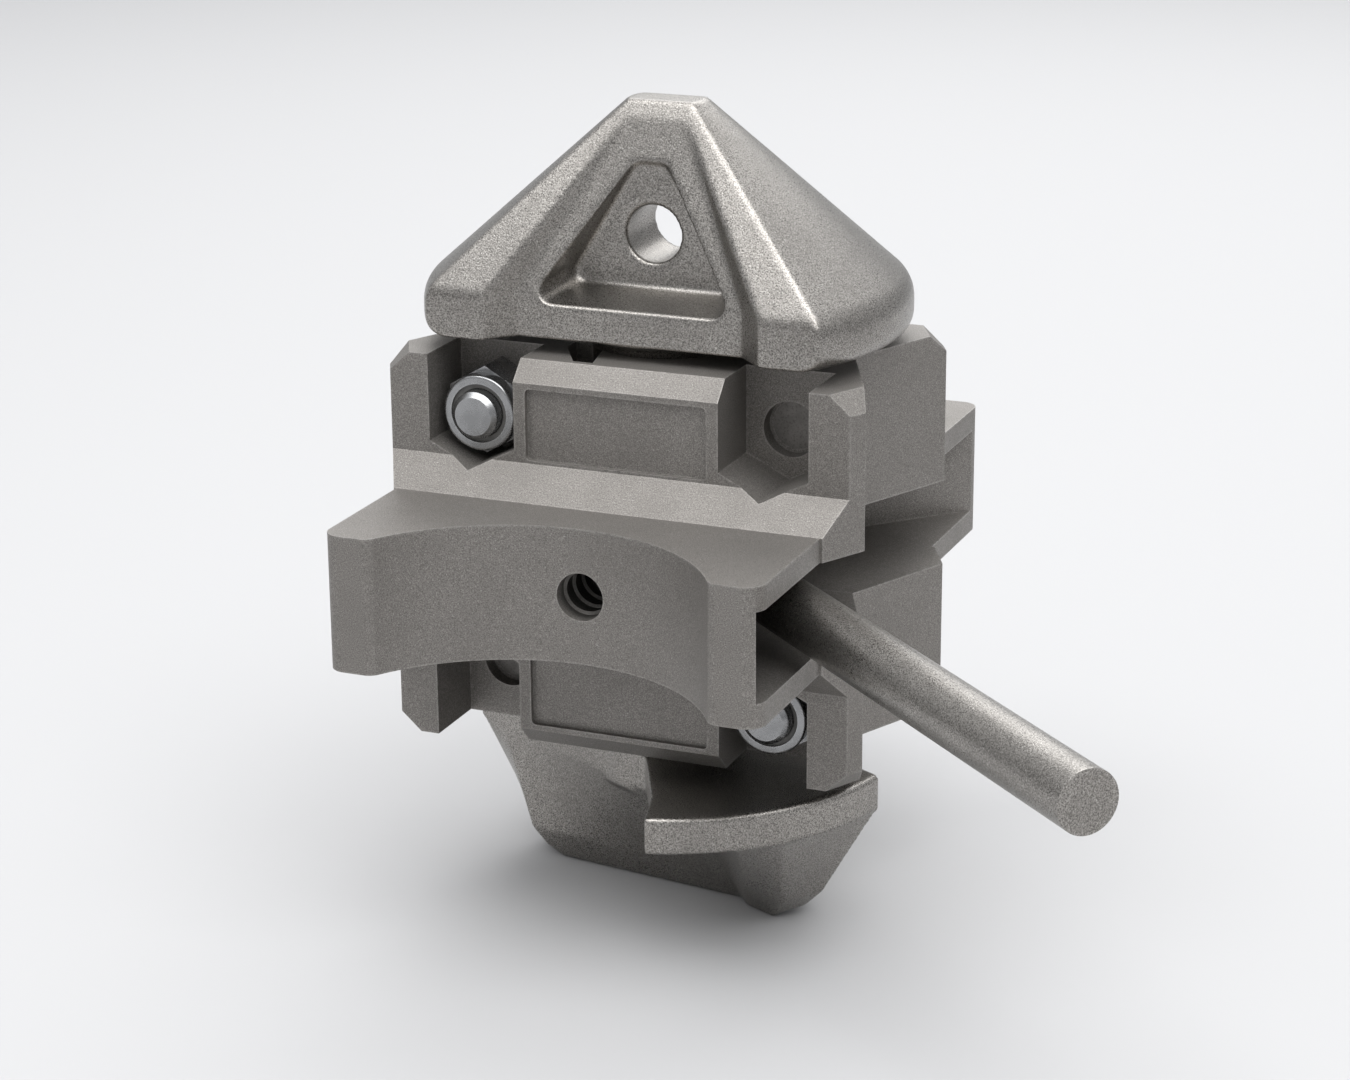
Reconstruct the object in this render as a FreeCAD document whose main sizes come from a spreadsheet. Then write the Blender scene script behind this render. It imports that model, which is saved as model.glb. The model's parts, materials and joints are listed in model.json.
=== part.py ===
import FreeCAD, Part
import math
import os

import Sketcher
from FreeCAD import Placement, Rotation, Vector

# Container twistlock: two cast housing halves bolted around a turning spindle.
# +Z up, +X along the collar, -Y the face with the threaded hole, origin in the flange's middle plane.

os.makedirs("parts", exist_ok=True)
doc = FreeCAD.newDocument("twistlock")
sheet = doc.addObject("Spreadsheet::Sheet", "Dims")
sheet.Label = "Dims"


# A size with its value and the words that a document object is bound with.
class Size:
    def __init__(self, value, text):
        self.value = float(value)
        self.text = text

    @staticmethod
    def wrap(other):
        if isinstance(other, Size):
            return other
        return Size(other, "%.6g" % other)

    def __add__(self, other):
        other = Size.wrap(other)
        return Size(self.value + other.value, "(%s + %s)" % (self.text, other.text))

    def __radd__(self, other):
        return Size.wrap(other) + self

    def __sub__(self, other):
        other = Size.wrap(other)
        return Size(self.value - other.value, "(%s - %s)" % (self.text, other.text))

    def __rsub__(self, other):
        return Size.wrap(other) - self

    def __mul__(self, other):
        other = Size.wrap(other)
        return Size(self.value * other.value, "(%s * %s)" % (self.text, other.text))

    def __rmul__(self, other):
        return Size.wrap(other) * self

    def __truediv__(self, other):
        other = Size.wrap(other)
        return Size(self.value / other.value, "(%s / %s)" % (self.text, other.text))

    def __neg__(self):
        return Size(-self.value, "(-1 * %s)" % self.text)


def sine(angle):
    angle = Size.wrap(angle)
    return Size(math.sin(math.radians(angle.value)), "sin(%s)" % angle.text)


def cosine(angle):
    angle = Size.wrap(angle)
    return Size(math.cos(math.radians(angle.value)), "cos(%s)" % angle.text)


def tangent(angle):
    angle = Size.wrap(angle)
    return Size(math.tan(math.radians(angle.value)), "tan(%s)" % angle.text)


def root(value):
    return Size(math.sqrt(value.value), "sqrt(%s)" % value.text)


row = [0]


# Puts one driving size into the sheet and returns it.
def size(name, value, words):
    row[0] += 1
    sheet.set("A%d" % row[0], words)
    sheet.set("B%d" % row[0], "%.6g" % value)
    sheet.setAlias("B%d" % row[0], name)
    return Size(value, "Dims.%s" % name)


# Collar, the block that fills the opening of a corner casting.
collar_half_length = size("collar_half_length", 50.0, "half length of the collar's front face")
collar_half_width = size("collar_half_width", 29.1, "half width across the collar's two long faces")
collar_top = size("collar_top", 41.5, "height of the collar above the middle plane")
taper_angle = size("taper_angle", 26.9, "slant of the collar's end beside the long face")
waist_angle = size("waist_angle", 24.1, "slant of the collar's end towards its waist")
widest_at = size("widest_at", 25.3, "distance of the collar's widest point from its middle")
end_chamfer = size("end_chamfer", 4.0, "chamfer on the slanted ends' top edge")
band = size("band", 6.4, "sloping band between collar and flange")
bevel = size("bevel", 4.1, "bevel on the middle block's top edge")

# Flange, the plate between two corner castings.
flange_half = size("flange_half", 14.2, "half thickness of the flange")
flange_side = size("flange_side", 46.2, "distance of the flange's straight sides from the middle")
flange_reach = size("flange_reach", 68.4, "reach of the four horns from the middle")
arc_radius = size("arc_radius", 40.8, "radius of the hollow between two horns")
arc_depth = size("arc_depth", 47.0, "distance of the hollow's bottom from the middle")
horn_radius = size("horn_radius", 4.0, "rounding of the horns' outer corners")
horn_inner_radius = size("horn_inner_radius", 3.0, "rounding of the horns' inner corners")

# Window in which the handle sweeps.
window_half = size("window_half", 9.2, "half height of the handle window")
sweep_angle = size("sweep_angle", 47.3, "direction of the window's inner walls")
front_wall_offset = size("front_wall_offset", 12.4, "distance of the front inner wall from the axis")
rear_wall_offset = size("rear_wall_offset", 8.9, "distance of the rear inner wall from the axis")
hub_room = size("hub_room", 26.0, "radius of the hub's room")
spring_room = size("spring_room", 19.0, "radius of the spring's room")
pin_room = size("pin_room", 24.0, "radius of the room for the driving pin")
pin_room_top = size("pin_room_top", 14.6, "top of the room for the driving pin")
spring_room_top = size("spring_room_top", 30.0, "top of the spring's room")

# Hexagon pockets and what sits in them.
pocket_wall = size("pocket_wall", 8.6, "wall between a pocket and the end of the collar's face")
pocket_width = size("pocket_width", 19.1, "width of the pockets")
pocket_floor = size("pocket_floor", 13.5, "distance of the pocket floor from the split plane")
pocket_corner = size("pocket_corner", 23.1, "height where the pocket's vee starts")
vee_angle = size("vee_angle", 26.2, "slant of the pocket's vee")
bolt_height = size("bolt_height", 28.9, "height of the bolts and pins from the middle plane")
bolt_hole = size("bolt_hole", 5.5, "radius of the bolt holes")
bolt_radius = size("bolt_radius", 5.0, "radius of the bolts' shanks")
bolt_head_corner = size("bolt_head_corner", 9.24, "corner radius of the bolt heads")
bolt_head_height = size("bolt_head_height", 6.4, "height of the bolt heads")
bolt_end = size("bolt_end", 28.3, "reach of the bolts' threaded ends from the split plane")
bolt_end_chamfer = size("bolt_end_chamfer", 1.0, "chamfer of the bolts' ends")
nut_corner = size("nut_corner", 9.24, "corner radius of the lock nuts")
nut_height = size("nut_height", 8.6, "height of the lock nuts' hexagon")
nut_collar_radius = size("nut_collar_radius", 8.0, "radius of the lock nuts' round collar")
nut_collar_height = size("nut_collar_height", 3.4, "height of the lock nuts' round collar")
nut_lip = size("nut_lip", 0.9, "wall of the lock nuts' round collar")
nut_rounding = size("nut_rounding", 0.6, "rounding of the lock nuts' round collar")
insert_height = size("insert_height", 2.6, "height of the nylon inserts")
dowel_radius = size("dowel_radius", 5.0, "radius of the locating pins")
dowel_reach = size("dowel_reach", 10.0, "reach of the locating pins from the split plane")
dowel_mouth = size("dowel_mouth", 5.8, "radius of the mouth over each locating pin")
panel_rim = size("panel_rim", 2.6, "rim between a sunk panel and the pocket beside it")
panel_low = size("panel_low", 21.2, "lower edge of the sunk panel")
panel_high = size("panel_high", 36.2, "upper edge of the sunk panel")
panel_depth = size("panel_depth", 1.2, "depth of the sunk panels")
panel_rounding = size("panel_rounding", 1.0, "rounding of the sunk panels' corners")
slot_depth = size("slot_depth", 6.0, "depth of the slot beside the neck")
slot_back = size("slot_back", 9.2, "rear end of the slot beside the neck")
slot_front = size("slot_front", 23.6, "front end of the slot beside the neck")
slot_left = size("slot_left", 17.0, "left side of the slot at its rear end")
slot_right = size("slot_right", 10.0, "right side of the slot at its rear end")
slot_bend = size("slot_bend", 13.7, "where the slot's left side bends")
slot_front_left = size("slot_front_left", 11.3, "left side of the slot at its front end")
slot_front_right = size("slot_front_right", 7.0, "right side of the slot at its front end")
tapped_radius = size("tapped_radius", 5.0, "radius of the threaded hole")
tapped_depth = size("tapped_depth", 16.0, "depth of the threaded hole from the hollow's bottom")

# Spindle.
journal_radius = size("journal_radius", 16.0, "radius of the spindle's two journals")
running_gap = size("running_gap", 0.06, "running clearance of the spindle in the housing")
neck_radius = size("neck_radius", 17.2, "radius of the round neck under the cone")
neck_gap = size("neck_gap", 0.4, "free height between the neck and the collar")
waist_radius = size("waist_radius", 12.5, "radius of the spindle inside the spring")
stub_radius = size("stub_radius", 10.0, "radius of the stubs inside the hub")
stub_gap = size("stub_gap", 0.3, "half of the space between the two stubs")
shoulder_radius = size("shoulder_radius", 15.0, "radius of the lower shaft's shoulder under the hub")
hub_radius = size("hub_radius", 24.0, "radius of the handle hub")
hub_half = size("hub_half", 7.7, "half height of the handle hub")
hub_chamfer = size("hub_chamfer", 1.0, "chamfer of the handle hub")
thrust_inner = size("thrust_inner", 16.4, "inner radius of the thrust ring")
thrust_outer = size("thrust_outer", 24.5, "outer radius of the thrust ring")
thrust_gap = size("thrust_gap", 0.05, "running gap over the thrust ring")

# Upper cone.
head_radius = size("head_radius", 50.4, "radius of the cone's round ends")
head_half_width = size("head_half_width", 26.8, "half width of the cone across its flats")
head_bottom = size("head_bottom", 44.6, "underside of the cone")
head_rim = size("head_rim", 54.2, "height where the cone's slopes start")
head_top = size("head_top", 91.8, "top of the cone")
head_top_radius = size("head_top_radius", 8.0, "radius of the cone's top")
head_top_half = size("head_top_half", 4.0, "half width of the cone's top")
rim_rounding = size("rim_rounding", 7.0, "rounding of the cone's round ends above the rim")
foot_rounding = size("foot_rounding", 4.0, "rounding of the cone's round ends below the rim")
middle_half_width = size("middle_half_width", 20.8, "half width of the cone's hollow middle")
middle_half_low = size("middle_half_low", 24.0, "half length of the hollow middle at the rim")
middle_half_high = size("middle_half_high", 6.4, "half length of the hollow middle at its top")
middle_top = size("middle_top", 88.5, "top of the hollow middle")
middle_top_half = size("middle_top_half", 6.0, "half width of the cone at the hollow's top")
hollow_slant = size("hollow_slant", 9.0, "outward slant of the hollow middle's side walls")
hollow_slant_top = size("hollow_slant_top", 1.2, "the same slant at the hollow middle's top")
boss_radius = size("boss_radius", 20.6, "radius of the neck's flare")
boss_height = size("boss_height", 1.4, "height of the neck's flare")
boss_drop = size("boss_drop", 1.5, "how far the neck's flare starts below the cone")
boss_sunk = size("boss_sunk", 2.0, "how far the flare's disc reaches up into the cone")
web_half = size("web_half", 8.3, "half thickness of the web in the triangular recess")
recess_half_low = size("recess_half_low", 19.3, "half width of the recess at its foot")
recess_low = size("recess_low", 54.0, "foot of the triangular recess")
recess_high = size("recess_high", 80.2, "top of the triangular recess")
recess_half_high = size("recess_half_high", 3.3, "half width of the recess at its top")
recess_flare = size("recess_flare", 4.7, "how much wider the recess is at the cone's flat")
recess_drop = size("recess_drop", 3.0, "how much lower the recess is at the cone's flat")
recess_rise = size("recess_rise", 2.6, "how much higher the recess is at the cone's flat")
recess_rounding = size("recess_rounding", 2.8, "rounding of the recess's corners")
eye_radius = size("eye_radius", 6.0, "radius of the cross hole")
eye_height = size("eye_height", 65.2, "height of the cross hole")

# Lower nose.
nose_angle = size("nose_angle", 42.5, "turn of the nose and of the handle from the collar's length")
ledge_extra = size("ledge_extra", 0.8, "how much further the nose's ledges reach than the cone")
ledge_half_angle = size("ledge_half_angle", 31.5, "half of the angle that a ledge spans")
ledge_top = size("ledge_top", 44.5, "distance of the ledges' upper face from the middle plane")
ledge_bottom = size("ledge_bottom", 52.5, "distance of the ledges' lower face from the middle plane")
ledge_rounding = size("ledge_rounding", 1.2, "rounding of the ledges' rim")
nose_hub = size("nose_hub", 15.4, "radius of the nose around the spindle")
nose_bottom = size("nose_bottom", 79.0, "lowest point of the nose")
nose_shoulder = size("nose_shoulder", 73.0, "distance of the nose's lower bend from the middle plane")
nose_heel = size("nose_heel", 76.7, "distance of the nose's heel from the middle plane")
shoulder_corners = ((-33.5, 0.5), (17.6, 10.5), (22.9, 16.6), (32.1, 18.0), (38.0, 9.6))
heel_corners = ((-30.2, 0.3), (18.1, 8.0), (21.7, 12.3), (30.3, 14.8), (34.3, 9.4))
tip_corners = ((-26.0, 0.2), (18.5, 6.4), (20.8, 9.4), (27.8, 13.0), (29.5, 9.0))
ledge_root = size("ledge_root", 17.6, "distance from the axis at which a ledge's edge starts")
ledge_root_angle = size("ledge_root_angle", -86.4, "direction in which a ledge's edge starts")
ledge_bend = size("ledge_bend", 38.3, "distance from the axis at which a ledge's edge bends")
wedge_inset = size("wedge_inset", 0.5, "how far the nose's flanks stay inside the ledges' rim")
wedge_left = size("wedge_left", -52.8, "direction of the tooth's left edge at the ledge")
wedge_ridge = size("wedge_ridge", -42.0, "direction of the tooth's ridge at the ledge")
flank_end = size("flank_end", -43.0, "where the flank ends at the ledge, along the collar")
flank_end_side = size("flank_end_side", -5.9, "the same, in side reach")
flank_root = size("flank_root", 14.4, "where the flank meets the tooth at the ledge, along the collar")
flank_root_side = size("flank_root_side", 24.7, "the same, in side reach")
# Handle, spring and small pins.
rod_radius = size("rod_radius", 6.1, "radius of the handle rod")
rod_start = size("rod_start", 11.6, "distance of the rod's inner end from the axis")
rod_end = size("rod_end", 165.4, "distance of the rod's free end from the axis")
rod_pin_radius = size("rod_pin_radius", 1.5, "radius of the rod's lock pin")
rod_pin_at = size("rod_pin_at", 18.0, "distance of the rod's lock pin from the axis")
hub_pin_radius = size("hub_pin_radius", 2.0, "radius of the hub's cross pins")
hub_pin_height = size("hub_pin_height", 4.2, "height of the hub's cross pins")
hub_pin_half = size("hub_pin_half", 22.0, "half length of the hub's cross pins")
wire_radius = size("wire_radius", 1.6, "radius of the spring wire")
coil_radius = size("coil_radius", 15.9, "radius of the spring's coils at the wire's middle")
coil_pitch = size("coil_pitch", 4.0, "pitch of the spring")
coil_turns = size("coil_turns", 3.75, "turns of the spring")
coil_start = size("coil_start", 11.2, "height of the spring's lower leg")
leg_reach = size("leg_reach", 22.4, "reach of the spring's two legs")
drive_pin_radius = size("drive_pin_radius", 1.6, "radius of the pin that drives the spring")
drive_pin_at = size("drive_pin_at", 21.2, "distance of the driving pin from the axis")
drive_pin_top = size("drive_pin_top", 13.4, "top of the driving pin")
drive_pin_sunk = size("drive_pin_sunk", 5.0, "depth of the driving pin in the hub")
leg_hole_gap = size("leg_hole_gap", 0.05, "free width round the spring's fixed leg")
leg_end_gap = size("leg_end_gap", 0.3, "free length beyond the spring's fixed leg")
rod_pin_depth = size("rod_pin_depth", 3.0, "reach of the rod's lock pin below the rod's middle")
rod_pin_sunk = size("rod_pin_sunk", 0.3, "depth of the lock pin's end below the hub's face")
drive_angle = size("drive_angle", 189.0, "direction of the driving pin at rest")

doc.recompute()

FLAT = Placement(Vector(0, 0, 0), Rotation())
UPRIGHT = Placement(Vector(0, 0, 0), Rotation(Vector(1, 0, 0), 90))
ACROSS = Placement(Vector(0, 0, 0), Rotation(Vector(1, 1, 1), 120))
FRONTWARD = UPRIGHT
CORNER_UP = Placement(Vector(0, 0, 0), UPRIGHT.Rotation.multiply(Rotation(Vector(0, 0, 1), 30)))
REARWARD = Placement(Vector(0, 0, 0), Rotation(Vector(1, 0, 0), -90))


# Draws closed outlines whose corners are bound to the sheet; a third value bends the next side.
def outline(name, where, loops, offset=None, turn=None):
    sketch = doc.addObject("Sketcher::SketchObject", name)
    sketch.Placement = where
    for loop in loops:
        first = sketch.GeometryCount
        count = len(loop)
        for index, corner in enumerate(loop):
            following = loop[(index + 1) % count]
            start = Vector(Size.wrap(corner[0]).value, Size.wrap(corner[1]).value, 0)
            end = Vector(Size.wrap(following[0]).value, Size.wrap(following[1]).value, 0)
            if len(corner) == 2:
                sketch.addGeometry(Part.LineSegment(start, end), False)
                continue
            radius = abs(Size.wrap(corner[2]).value)
            chord = end.sub(start)
            half = chord.Length / 2.0
            rise = math.sqrt(max(radius * radius - half * half, 0.0))
            side = Vector(-chord.y, chord.x, 0).normalize()
            if corner[3] == "right":
                side = side.negative()
            center = start.add(end).multiply(0.5).add(side.multiply(rise))
            away = start.add(end).multiply(0.5).sub(center)
            if away.Length < 1e-9:
                away = side.negative()
            middle = center.add(away.normalize().multiply(radius))
            sketch.addGeometry(Part.Arc(start, middle, end), False)
        for index, corner in enumerate(loop):
            geometry = first + index
            following = first + (index + 1) % count
            near, far = 1, 2
            if len(corner) > 2 and corner[3] == "right":
                near, far = 2, 1
            after = loop[(index + 1) % count]
            near_next = 1
            if len(after) > 2 and after[3] == "right":
                near_next = 2
            sketch.addConstraint(Sketcher.Constraint("Coincident", geometry, far, following, near_next))
            for axis, value in (("DistanceX", corner[0]), ("DistanceY", corner[1])):
                bound = Size.wrap(value)
                number = sketch.addConstraint(Sketcher.Constraint(axis, -1, 1, geometry, near, bound.value))
                sketch.setExpression("Constraints[%d]" % number, bound.text)
            if len(corner) > 2:
                bound = Size.wrap(corner[2])
                number = sketch.addConstraint(Sketcher.Constraint("Radius", geometry, bound.value))
                sketch.setExpression("Constraints[%d]" % number, bound.text)
    if offset is not None:
        sketch.setExpression("Placement.Base.%s" % offset[0], Size.wrap(offset[1]).text)
    if turn is not None:
        sketch.setExpression("Placement.Rotation.Angle", turn.text)
    doc.recompute([sketch])
    return sketch


# Pushes an outline out along its normal, forwards and backwards.
def extrude(name, sketch, forwards, backwards=0.0):
    block = doc.addObject("Part::Extrusion", name)
    block.Base = sketch
    block.DirMode = "Normal"
    block.Solid = True
    block.setExpression("LengthFwd", Size.wrap(forwards).text)
    block.setExpression("LengthRev", Size.wrap(backwards).text)
    doc.recompute([block])
    return block


# Turns a profile drawn in the XZ plane about the Z axis.
def revolve(name, sketch):
    ring = doc.addObject("Part::Revolution", name)
    ring.Source = sketch
    ring.Axis = Vector(0, 0, 1)
    ring.Base = Vector(0, 0, 0)
    ring.Angle = 360
    ring.Solid = True
    doc.recompute([ring])
    return ring


def fuse(name, shapes):
    body = doc.addObject("Part::MultiFuse", name)
    body.Shapes = shapes
    body.Refine = True
    doc.recompute([body])
    return body


def common(name, shapes):
    body = doc.addObject("Part::MultiCommon", name)
    body.Shapes = shapes
    doc.recompute([body])
    return body


# Cuts tools from a body and insists that the cut removed material.
def cut(name, body, tools):
    tool = tools[0]
    if len(tools) > 1:
        tool = doc.addObject("Part::MultiFuse", name + "_tools")
        tool.Shapes = tools
        doc.recompute([tool])
    result = doc.addObject("Part::Cut", name)
    result.Base = body
    result.Tool = tool
    result.Refine = True
    doc.recompute([result])
    if result.Shape.Volume >= body.Shape.Volume - 1e-3:
        raise RuntimeError("nothing was cut in " + name)
    return result


# Rounds or chamfers the edges that a test picks.
def edge_finish(name, body, picks, kind="Fillet"):
    result = doc.addObject("Part::" + kind, name)
    result.Base = body
    edges = []
    for test, amount in picks:
        found = [i + 1 for i, edge in enumerate(body.Shape.Edges) if test(edge)]
        if not found:
            raise RuntimeError("no edge was found for " + name)
        edges.extend((number, amount.value, amount.value) for number in found)
    result.Edges = edges
    doc.recompute([result])
    return result


# Sinks an outline of the UPRIGHT plane towards the front or the rear.
def sink(name, sketch, s, depth):
    if s < 0:
        return extrude(name, sketch, depth)
    return extrude(name, sketch, 0, depth)


# Puts an object at a bound place.
def seat_at(obj, x, y, z):
    for axis, value in (("x", x), ("y", y), ("z", z)):
        obj.setExpression(".Placement.Base." + axis, Size.wrap(value).text)


# A round bar that starts at a place and runs along the placement's own axis.
def standing(name, radius, length, where, x, y, z):
    cylinder = doc.addObject("Part::Cylinder", name)
    cylinder.Placement = where
    cylinder.setExpression("Radius", Size.wrap(radius).text)
    cylinder.setExpression("Height", Size.wrap(length).text)
    seat_at(cylinder, x, y, z)
    doc.recompute([cylinder])
    return cylinder


# A hexagonal bar that starts at a place and runs towards the front.
def hexagon(name, corner_radius, length, x, y, z):
    prism = doc.addObject("Part::Prism", name)
    prism.Polygon = 6
    prism.Placement = CORNER_UP
    prism.setExpression("Circumradius", corner_radius.text)
    prism.setExpression("Height", length.text)
    seat_at(prism, x, y, z)
    doc.recompute([prism])
    return prism


def near(a, b, room=1e-3):
    return abs(a - b) < room


# Tells whether an edge crosses from one outline to the outline before or behind it.
def crossing_edge(edge):
    ends = edge.Vertexes
    return len(ends) == 2 and not near(ends[0].Y, ends[1].Y)


nodes = []


# Gives a finished object its name for hand-over.
def finished(obj, label):
    obj.Label = label
    nodes.append(obj)
    return obj


# Sizes that follow from the driving ones.
widest = collar_half_length + (collar_half_width - widest_at) * tangent(taper_angle)
waist = widest - widest_at * tangent(waist_angle)
band_width = collar_half_width + band
band_half_length = collar_half_length - band * tangent(taper_angle)
band_top = flange_half + band
flange_waist = (flange_side - waist) / tangent(waist_angle)
arc_center = arc_depth + arc_radius
horn_inner = root(arc_radius * arc_radius - (arc_center - flange_reach) * (arc_center - flange_reach))
pocket_outer = collar_half_length - pocket_wall
pocket_inner = pocket_outer - pocket_width
pocket_middle = (pocket_inner + pocket_outer) / 2
panel_half = pocket_inner - panel_rim
vee_bottom = pocket_corner - (pocket_outer - pocket_inner) / 2 * tangent(vee_angle)
bore_radius = journal_radius + running_gap
coil_end = coil_start + coil_pitch * coil_turns
ledge_radius = head_radius + ledge_extra


# The collar with its tapered ends and the sloping band, on one side of the split plane.
def collar_half(name, s):
    plan = [
        (-waist, 0), (-widest, s * widest_at), (-collar_half_length, s * collar_half_width),
        (collar_half_length, s * collar_half_width), (widest, s * widest_at), (waist, 0),
    ]
    block = extrude(name + "_collar", outline(name + "_collar_plan", FLAT, [plan]), collar_top, collar_top)

    def end_edge(edge):
        ends = edge.Vertexes
        if len(ends) != 2 or not near(abs(ends[0].Z), collar_top.value) or not near(ends[0].Z, ends[1].Z):
            return False
        across = sorted(abs(v.Y) for v in ends)
        return near(across[0], widest_at.value) and near(across[1], collar_half_width.value)

    block = edge_finish(name + "_collar_ends", block, [(end_edge, end_chamfer)], "Chamfer")
    wide = [
        (-waist, 0), (-widest, s * widest_at), (-band_half_length, s * band_width),
        (band_half_length, s * band_width), (widest, s * widest_at), (waist, 0),
    ]
    prism = extrude(name + "_band_plan", outline(name + "_band_outline", FLAT, [wide]), band_top, band_top)
    slope = [
        (0, -band_top), (s * collar_half_width, -band_top), (s * band_width, -flange_half),
        (s * band_width, flange_half), (s * collar_half_width, band_top), (0, band_top),
    ]
    reach = widest + 5
    slope_sketch = outline(name + "_band_profile", ACROSS, [slope])
    wedge = extrude(name + "_band_slope", slope_sketch, reach, reach)
    sloped = common(name + "_band", [prism, wedge])
    return [block, sloped]


# The flange plate with its two horns and the hollow between them.
def flange_half_plate(name, s):
    plan = [
        (-waist, 0), (-flange_side, s * flange_waist), (-flange_side, s * flange_reach),
        (-horn_inner, s * flange_reach, arc_radius, "right" if s < 0 else "left"),
        (horn_inner, s * flange_reach), (flange_side, s * flange_reach),
        (flange_side, s * flange_waist), (waist, 0),
    ]
    plate = extrude(name + "_flange", outline(name + "_flange_plan", FLAT, [plan]), flange_half, flange_half)

    def upright(edge, x):
        ends = edge.Vertexes
        if len(ends) != 2 or near(ends[0].Z, ends[1].Z):
            return False
        return near(abs(ends[0].X), x, 1e-2) and near(abs(ends[0].Y), flange_reach.value, 1e-2)

    picks = [
        (lambda edge: upright(edge, flange_side.value), horn_radius),
        (lambda edge: upright(edge, horn_inner.value), horn_inner_radius),
    ]
    return edge_finish(name + "_horns", plate, picks)


# Everything that is hollow in both halves: rooms, window, pockets, bevels, panels and holes.
def housing_tools(name, s):
    profile = [
        (0, -(collar_top + 1)), (bore_radius, -(collar_top + 1)), (bore_radius, -window_half),
        (hub_room, -window_half), (hub_room, window_half), (pin_room, window_half),
        (pin_room, pin_room_top), (spring_room, pin_room_top), (spring_room, spring_room_top),
        (bore_radius, spring_room_top), (bore_radius, collar_top + 1), (0, collar_top + 1),
    ]
    rooms = revolve(name + "_rooms", outline(name + "_rooms_profile", UPRIGHT, [profile]))
    offset = front_wall_offset if s < 0 else rear_wall_offset
    far = flange_side + 20
    wall = (far * sine(sweep_angle) + offset) / cosine(sweep_angle)
    inner_end = -(offset * sine(sweep_angle))
    window_plan = [
        (inner_end, 0), (inner_end, s * offset * cosine(sweep_angle)), (far, s * wall), (far, 0),
    ]
    window_sketch = outline(name + "_window_plan", FLAT, [window_plan])
    tools = [rooms, extrude(name + "_window", window_sketch, window_half, window_half)]
    pocket_loops = []
    for side in (-1, 1):
        for level in (-1, 1):
            pocket_loops.append([
                (side * pocket_inner, level * (collar_top + 1)),
                (side * pocket_inner, level * pocket_corner),
                (side * pocket_middle, level * vee_bottom), (side * pocket_outer, level * pocket_corner),
                (side * pocket_outer, level * (collar_top + 1)),
            ])
    pocket_sketch = outline(name + "_pocket_outlines", UPRIGHT, pocket_loops, ("y", s * pocket_floor))
    tools.append(sink(name + "_pockets", pocket_sketch, s, band_width - pocket_floor + 1))
    bevel_loops = []
    for level in (-1, 1):
        bevel_loops.append([
            (s * (collar_half_width - bevel), level * collar_top),
            (s * (collar_half_width - bevel), level * (collar_top + 1)),
            (s * (collar_half_width + 1), level * (collar_top + 1)),
            (s * (collar_half_width + 1), level * (collar_top - bevel - 1)),
            (s * collar_half_width, level * (collar_top - bevel)),
        ])
    bevel_sketch = outline(name + "_bevel_profiles", ACROSS, bevel_loops)
    tools.append(extrude(name + "_bevels", bevel_sketch, pocket_inner + 1, pocket_inner + 1))
    panel_loops = []
    for level in (-1, 1):
        panel_loops.append([
            (-panel_half, level * panel_low), (panel_half, level * panel_low),
            (panel_half, level * panel_high), (-panel_half, level * panel_high),
        ])
    panel_floor = s * (collar_half_width - panel_depth)
    panel_sketch = outline(name + "_panel_outlines", UPRIGHT, panel_loops, ("y", panel_floor))
    panels = sink(name + "_panel_blocks", panel_sketch, s, panel_depth + 1)
    tools.append(edge_finish(name + "_panels", panels, [(crossing_edge, panel_rounding)]))
    outward = FRONTWARD if s < 0 else REARWARD
    for level, side in ((1, -1), (-1, 1)):
        word = name + ("_upper" if level > 0 else "_lower")
        x = side * pocket_middle
        z = level * bolt_height
        deep = pocket_floor + 1
        shallow = pocket_floor - dowel_reach + 1
        tools.append(standing(word + "_bolt_hole", bolt_hole, deep, outward, x, -0.5 * s, z))
        tools.append(standing(word + "_pin_hole", dowel_radius, deep, outward, -x, -0.5 * s, z))
        tools.append(standing(word + "_pin_mouth", dowel_mouth, shallow, outward, -x, s * dowel_reach, z))
    return tools


def housing(name, s):
    pieces = collar_half(name, s)
    pieces.append(flange_half_plate(name, s))
    body = fuse(name + "_casting", pieces)
    tools = housing_tools(name, s)
    if s < 0:
        foot = tapped_depth - arc_depth
        slot_plan = [
            (-slot_left, -slot_back), (-slot_left, -slot_bend), (-slot_front_left, -slot_front),
            (-slot_front_right, -slot_front), (-slot_right, -slot_back),
        ]
        slot_sketch = outline(name + "_slot_plan", FLAT, [slot_plan], ("z", collar_top - slot_depth))
        tools.append(extrude(name + "_slot", slot_sketch, slot_depth + 1))
        tools.append(standing(name + "_tapped_hole", tapped_radius, tapped_depth + 5, FRONTWARD, 0, foot, 0))
    if s > 0:
        around = wire_radius + leg_hole_gap
        tools.append(standing(name + "_leg_hole", around, leg_reach + leg_end_gap, REARWARD, 0, 0, coil_end))
    return cut(name, body, tools)


finished(housing("front_housing", -1), "front_housing")
finished(housing("rear_housing", 1), "rear_housing")

# A bolt through both halves, its head at the rear and its threaded end at the front.
def bolt(word, x, z):
    head_face = pocket_floor + bolt_head_height
    head = hexagon(word + "_bolt_head", bolt_head_corner, bolt_head_height, x, head_face, z)
    length = pocket_floor + bolt_end
    shank = standing(word + "_bolt_shank", bolt_radius, length, FRONTWARD, x, pocket_floor, z)

    def tip(edge):
        return len(edge.Vertexes) == 1 and near(edge.CenterOfMass.y, -bolt_end.value)

    shank = edge_finish(word + "_bolt_tip", shank, [(tip, bolt_end_chamfer)], "Chamfer")
    return fuse(word + "_bolt", [head, shank])


# A flat ring that starts at a place and runs towards the front.
def flat_ring(name, radius, height, x, y, z):
    disc = standing(name + "_disc", radius, height, FRONTWARD, x, y, z)
    hole = standing(name + "_hole", bolt_radius, height + 2, FRONTWARD, x, y + 1, z)
    return cut(name, disc, [hole])


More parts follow.
